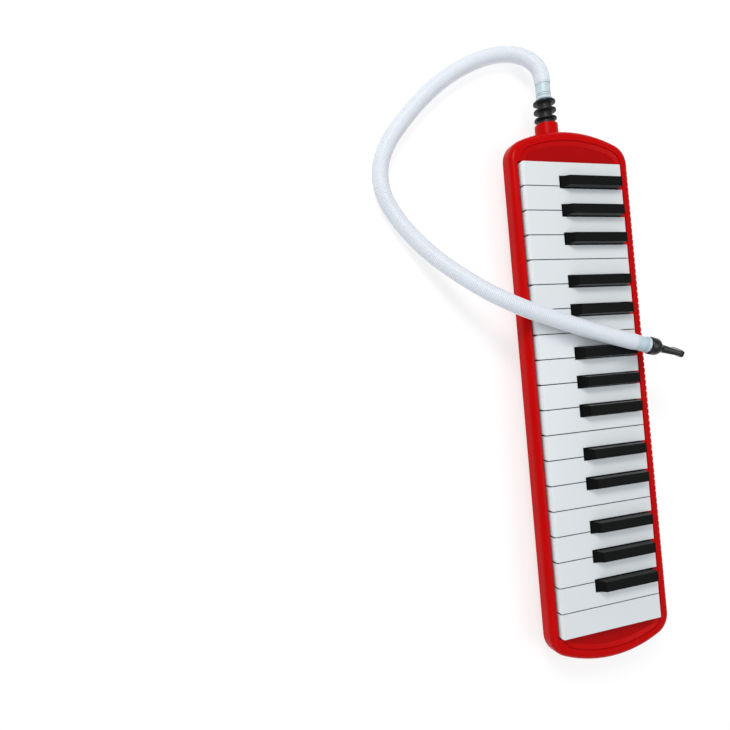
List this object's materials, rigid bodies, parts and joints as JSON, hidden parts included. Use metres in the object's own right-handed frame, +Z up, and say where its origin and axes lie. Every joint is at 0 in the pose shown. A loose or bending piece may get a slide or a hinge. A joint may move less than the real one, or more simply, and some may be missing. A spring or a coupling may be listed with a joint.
{
  "type": "melodica",
  "caption": "Keyboard wind instrument with a red case, white and black keys, a rubber hose adapter, a breath hose and a flat mouthpiece.",
  "frame": {"origin": "centre of the flat underside of the case", "axes": "+X along the case from the blow neck and low notes to the high notes, +Y away from the player, +Z up"},
  "size_m": [0.5003, 0.2315, 0.0594],
  "materials": {
    "case_red": "moulded glossy red plastic",
    "white_key_plastic": "moulded white plastic, satin to gloss",
    "black_key_plastic": "moulded black plastic, satin top and glossy nose",
    "chamber_plastic": "moulded grey plastic",
    "gasket_rubber": "soft black rubber",
    "plate_metal": "stamped aluminium plate",
    "reed_bronze": "phosphor bronze strip",
    "rod_steel": "drawn steel rod",
    "spring_steel": "spring steel wire",
    "screw_steel": "blackened steel screw",
    "felt": "pressed wool felt",
    "drain_plastic": "black moulded plastic",
    "strap_webbing": "woven black webbing",
    "adapter_rubber": "black rubber, satin",
    "cuff_plastic": "soft pale blue-white plastic",
    "hose_plastic": "soft white corrugated plastic",
    "mouthpiece_plastic": "black moulded plastic"
  },
  "bodies": {
    "case": {"upper_case": "case_red", "lower_case": "case_red", "case_screws": "screw_steel", "key_stop_felt": "felt", "wind_chamber": "chamber_plastic", "chamber_gasket": "gasket_rubber", "reed_block": "chamber_plastic", "reed_plate_low": "plate_metal", "reed_plate_high": "plate_metal", "reeds": "reed_bronze", "reed_rivets": "reed_bronze", "pivot_rod": "rod_steel", "key_springs": "spring_steel", "drain_spring": "spring_steel", "hand_strap": "strap_webbing", "strap_studs": "drain_plastic", "blow_neck": "case_red"},
    "hose_set": {"hose_adapter": "adapter_rubber", "hose_cuff_near": "cuff_plastic", "hose": "hose_plastic", "hose_cuff_far": "cuff_plastic", "hose_mouthpiece": "mouthpiece_plastic"},
    "drain_valve": {"drain_button": "drain_plastic", "drain_seal": "gasket_rubber"},
    "white_key_01_body": {"white_key_01": "white_key_plastic"},
    "white_key_02_body": {"white_key_02": "white_key_plastic"},
    "white_key_03_body": {"white_key_03": "white_key_plastic"},
    "white_key_04_body": {"white_key_04": "white_key_plastic"},
    "white_key_05_body": {"white_key_05": "white_key_plastic"},
    "white_key_06_body": {"white_key_06": "white_key_plastic"},
    "white_key_07_body": {"white_key_07": "white_key_plastic"},
    "white_key_08_body": {"white_key_08": "white_key_plastic"},
    "white_key_09_body": {"white_key_09": "white_key_plastic"},
    "white_key_10_body": {"white_key_10": "white_key_plastic"},
    "white_key_11_body": {"white_key_11": "white_key_plastic"},
    "white_key_12_body": {"white_key_12": "white_key_plastic"},
    "white_key_13_body": {"white_key_13": "white_key_plastic"},
    "white_key_14_body": {"white_key_14": "white_key_plastic"},
    "white_key_15_body": {"white_key_15": "white_key_plastic"},
    "white_key_16_body": {"white_key_16": "white_key_plastic"},
    "white_key_17_body": {"white_key_17": "white_key_plastic"},
    "white_key_18_body": {"white_key_18": "white_key_plastic"},
    "white_key_19_body": {"white_key_19": "white_key_plastic"},
    "black_key_01_body": {"black_key_01": "black_key_plastic"},
    "black_key_02_body": {"black_key_02": "black_key_plastic"},
    "black_key_03_body": {"black_key_03": "black_key_plastic"},
    "black_key_04_body": {"black_key_04": "black_key_plastic"},
    "black_key_05_body": {"black_key_05": "black_key_plastic"},
    "black_key_06_body": {"black_key_06": "black_key_plastic"},
    "black_key_07_body": {"black_key_07": "black_key_plastic"},
    "black_key_08_body": {"black_key_08": "black_key_plastic"},
    "black_key_09_body": {"black_key_09": "black_key_plastic"},
    "black_key_10_body": {"black_key_10": "black_key_plastic"},
    "black_key_11_body": {"black_key_11": "black_key_plastic"},
    "black_key_12_body": {"black_key_12": "black_key_plastic"},
    "black_key_13_body": {"black_key_13": "black_key_plastic"}
  },
  "joints": [
    {"name": "drain_push", "type": "slide", "parent": "case", "child": "drain_valve", "axis": [0, 0, 1], "range_m": [0, 0.0018], "stiffness_N_per_m": 250, "springref_m": -0.004, "deforming": ["drain_spring"]},
    {"name": "hose_pull", "type": "slide", "parent": "case", "child": "hose_set", "axis": [-1, 0, 0], "range_m": [0, 0.014]},
    {"name": "white_key_01_press", "type": "hinge", "parent": "case", "child": "white_key_01_body", "pos_m": [0, 0.023, 0.026], "axis": [1, 0, 0], "range_deg": [0, 3.48], "stiffness_Nm_per_rad": 0.1, "springref_deg": -14.32},
    {"name": "white_key_02_press", "type": "hinge", "parent": "case", "child": "white_key_02_body", "pos_m": [0, 0.023, 0.026], "axis": [1, 0, 0], "range_deg": [0, 3.48], "stiffness_Nm_per_rad": 0.1, "springref_deg": -14.32},
    {"name": "white_key_03_press", "type": "hinge", "parent": "case", "child": "white_key_03_body", "pos_m": [0, 0.023, 0.026], "axis": [1, 0, 0], "range_deg": [0, 3.48], "stiffness_Nm_per_rad": 0.1, "springref_deg": -14.32},
    {"name": "white_key_04_press", "type": "hinge", "parent": "case", "child": "white_key_04_body", "pos_m": [0, 0.023, 0.026], "axis": [1, 0, 0], "range_deg": [0, 3.48], "stiffness_Nm_per_rad": 0.1, "springref_deg": -14.32},
    {"name": "white_key_05_press", "type": "hinge", "parent": "case", "child": "white_key_05_body", "pos_m": [0, 0.023, 0.026], "axis": [1, 0, 0], "range_deg": [0, 3.48], "stiffness_Nm_per_rad": 0.1, "springref_deg": -14.32},
    {"name": "white_key_06_press", "type": "hinge", "parent": "case", "child": "white_key_06_body", "pos_m": [0, 0.023, 0.026], "axis": [1, 0, 0], "range_deg": [0, 3.48], "stiffness_Nm_per_rad": 0.1, "springref_deg": -14.32},
    {"name": "white_key_07_press", "type": "hinge", "parent": "case", "child": "white_key_07_body", "pos_m": [0, 0.023, 0.026], "axis": [1, 0, 0], "range_deg": [0, 3.48], "stiffness_Nm_per_rad": 0.1, "springref_deg": -14.32},
    {"name": "white_key_08_press", "type": "hinge", "parent": "case", "child": "white_key_08_body", "pos_m": [0, 0.023, 0.026], "axis": [1, 0, 0], "range_deg": [0, 3.48], "stiffness_Nm_per_rad": 0.1, "springref_deg": -14.32},
    {"name": "white_key_09_press", "type": "hinge", "parent": "case", "child": "white_key_09_body", "pos_m": [0, 0.023, 0.026], "axis": [1, 0, 0], "range_deg": [0, 3.48], "stiffness_Nm_per_rad": 0.1, "springref_deg": -14.32},
    {"name": "white_key_10_press", "type": "hinge", "parent": "case", "child": "white_key_10_body", "pos_m": [0, 0.023, 0.026], "axis": [1, 0, 0], "range_deg": [0, 3.48], "stiffness_Nm_per_rad": 0.1, "springref_deg": -14.32},
    {"name": "white_key_11_press", "type": "hinge", "parent": "case", "child": "white_key_11_body", "pos_m": [0, 0.023, 0.026], "axis": [1, 0, 0], "range_deg": [0, 3.48], "stiffness_Nm_per_rad": 0.1, "springref_deg": -14.32},
    {"name": "white_key_12_press", "type": "hinge", "parent": "case", "child": "white_key_12_body", "pos_m": [0, 0.023, 0.026], "axis": [1, 0, 0], "range_deg": [0, 3.48], "stiffness_Nm_per_rad": 0.1, "springref_deg": -14.32},
    {"name": "white_key_13_press", "type": "hinge", "parent": "case", "child": "white_key_13_body", "pos_m": [0, 0.023, 0.026], "axis": [1, 0, 0], "range_deg": [0, 3.48], "stiffness_Nm_per_rad": 0.1, "springref_deg": -14.32},
    {"name": "white_key_14_press", "type": "hinge", "parent": "case", "child": "white_key_14_body", "pos_m": [0, 0.023, 0.026], "axis": [1, 0, 0], "range_deg": [0, 3.48], "stiffness_Nm_per_rad": 0.1, "springref_deg": -14.32},
    {"name": "white_key_15_press", "type": "hinge", "parent": "case", "child": "white_key_15_body", "pos_m": [0, 0.023, 0.026], "axis": [1, 0, 0], "range_deg": [0, 3.48], "stiffness_Nm_per_rad": 0.1, "springref_deg": -14.32},
    {"name": "white_key_16_press", "type": "hinge", "parent": "case", "child": "white_key_16_body", "pos_m": [0, 0.023, 0.026], "axis": [1, 0, 0], "range_deg": [0, 3.48], "stiffness_Nm_per_rad": 0.1, "springref_deg": -14.32},
    {"name": "white_key_17_press", "type": "hinge", "parent": "case", "child": "white_key_17_body", "pos_m": [0, 0.023, 0.026], "axis": [1, 0, 0], "range_deg": [0, 3.48], "stiffness_Nm_per_rad": 0.1, "springref_deg": -14.32},
    {"name": "white_key_18_press", "type": "hinge", "parent": "case", "child": "white_key_18_body", "pos_m": [0, 0.023, 0.026], "axis": [1, 0, 0], "range_deg": [0, 3.48], "stiffness_Nm_per_rad": 0.1, "springref_deg": -14.32},
    {"name": "white_key_19_press", "type": "hinge", "parent": "case", "child": "white_key_19_body", "pos_m": [0, 0.023, 0.026], "axis": [1, 0, 0], "range_deg": [0, 3.48], "stiffness_Nm_per_rad": 0.1, "springref_deg": -14.32},
    {"name": "black_key_01_press", "type": "hinge", "parent": "case", "child": "black_key_01_body", "pos_m": [0, 0.023, 0.026], "axis": [1, 0, 0], "range_deg": [0, 4.4], "stiffness_Nm_per_rad": 0.1, "springref_deg": -14.32},
    {"name": "black_key_02_press", "type": "hinge", "parent": "case", "child": "black_key_02_body", "pos_m": [0, 0.023, 0.026], "axis": [1, 0, 0], "range_deg": [0, 4.4], "stiffness_Nm_per_rad": 0.1, "springref_deg": -14.32},
    {"name": "black_key_03_press", "type": "hinge", "parent": "case", "child": "black_key_03_body", "pos_m": [0, 0.023, 0.026], "axis": [1, 0, 0], "range_deg": [0, 4.4], "stiffness_Nm_per_rad": 0.1, "springref_deg": -14.32},
    {"name": "black_key_04_press", "type": "hinge", "parent": "case", "child": "black_key_04_body", "pos_m": [0, 0.023, 0.026], "axis": [1, 0, 0], "range_deg": [0, 4.4], "stiffness_Nm_per_rad": 0.1, "springref_deg": -14.32},
    {"name": "black_key_05_press", "type": "hinge", "parent": "case", "child": "black_key_05_body", "pos_m": [0, 0.023, 0.026], "axis": [1, 0, 0], "range_deg": [0, 4.4], "stiffness_Nm_per_rad": 0.1, "springref_deg": -14.32},
    {"name": "black_key_06_press", "type": "hinge", "parent": "case", "child": "black_key_06_body", "pos_m": [0, 0.023, 0.026], "axis": [1, 0, 0], "range_deg": [0, 4.4], "stiffness_Nm_per_rad": 0.1, "springref_deg": -14.32},
    {"name": "black_key_07_press", "type": "hinge", "parent": "case", "child": "black_key_07_body", "pos_m": [0, 0.023, 0.026], "axis": [1, 0, 0], "range_deg": [0, 4.4], "stiffness_Nm_per_rad": 0.1, "springref_deg": -14.32},
    {"name": "black_key_08_press", "type": "hinge", "parent": "case", "child": "black_key_08_body", "pos_m": [0, 0.023, 0.026], "axis": [1, 0, 0], "range_deg": [0, 4.4], "stiffness_Nm_per_rad": 0.1, "springref_deg": -14.32},
    {"name": "black_key_09_press", "type": "hinge", "parent": "case", "child": "black_key_09_body", "pos_m": [0, 0.023, 0.026], "axis": [1, 0, 0], "range_deg": [0, 4.4], "stiffness_Nm_per_rad": 0.1, "springref_deg": -14.32},
    {"name": "black_key_10_press", "type": "hinge", "parent": "case", "child": "black_key_10_body", "pos_m": [0, 0.023, 0.026], "axis": [1, 0, 0], "range_deg": [0, 4.4], "stiffness_Nm_per_rad": 0.1, "springref_deg": -14.32},
    {"name": "black_key_11_press", "type": "hinge", "parent": "case", "child": "black_key_11_body", "pos_m": [0, 0.023, 0.026], "axis": [1, 0, 0], "range_deg": [0, 4.4], "stiffness_Nm_per_rad": 0.1, "springref_deg": -14.32},
    {"name": "black_key_12_press", "type": "hinge", "parent": "case", "child": "black_key_12_body", "pos_m": [0, 0.023, 0.026], "axis": [1, 0, 0], "range_deg": [0, 4.4], "stiffness_Nm_per_rad": 0.1, "springref_deg": -14.32},
    {"name": "black_key_13_press", "type": "hinge", "parent": "case", "child": "black_key_13_body", "pos_m": [0, 0.023, 0.026], "axis": [1, 0, 0], "range_deg": [0, 4.4], "stiffness_Nm_per_rad": 0.1, "springref_deg": -14.32}
  ]
}
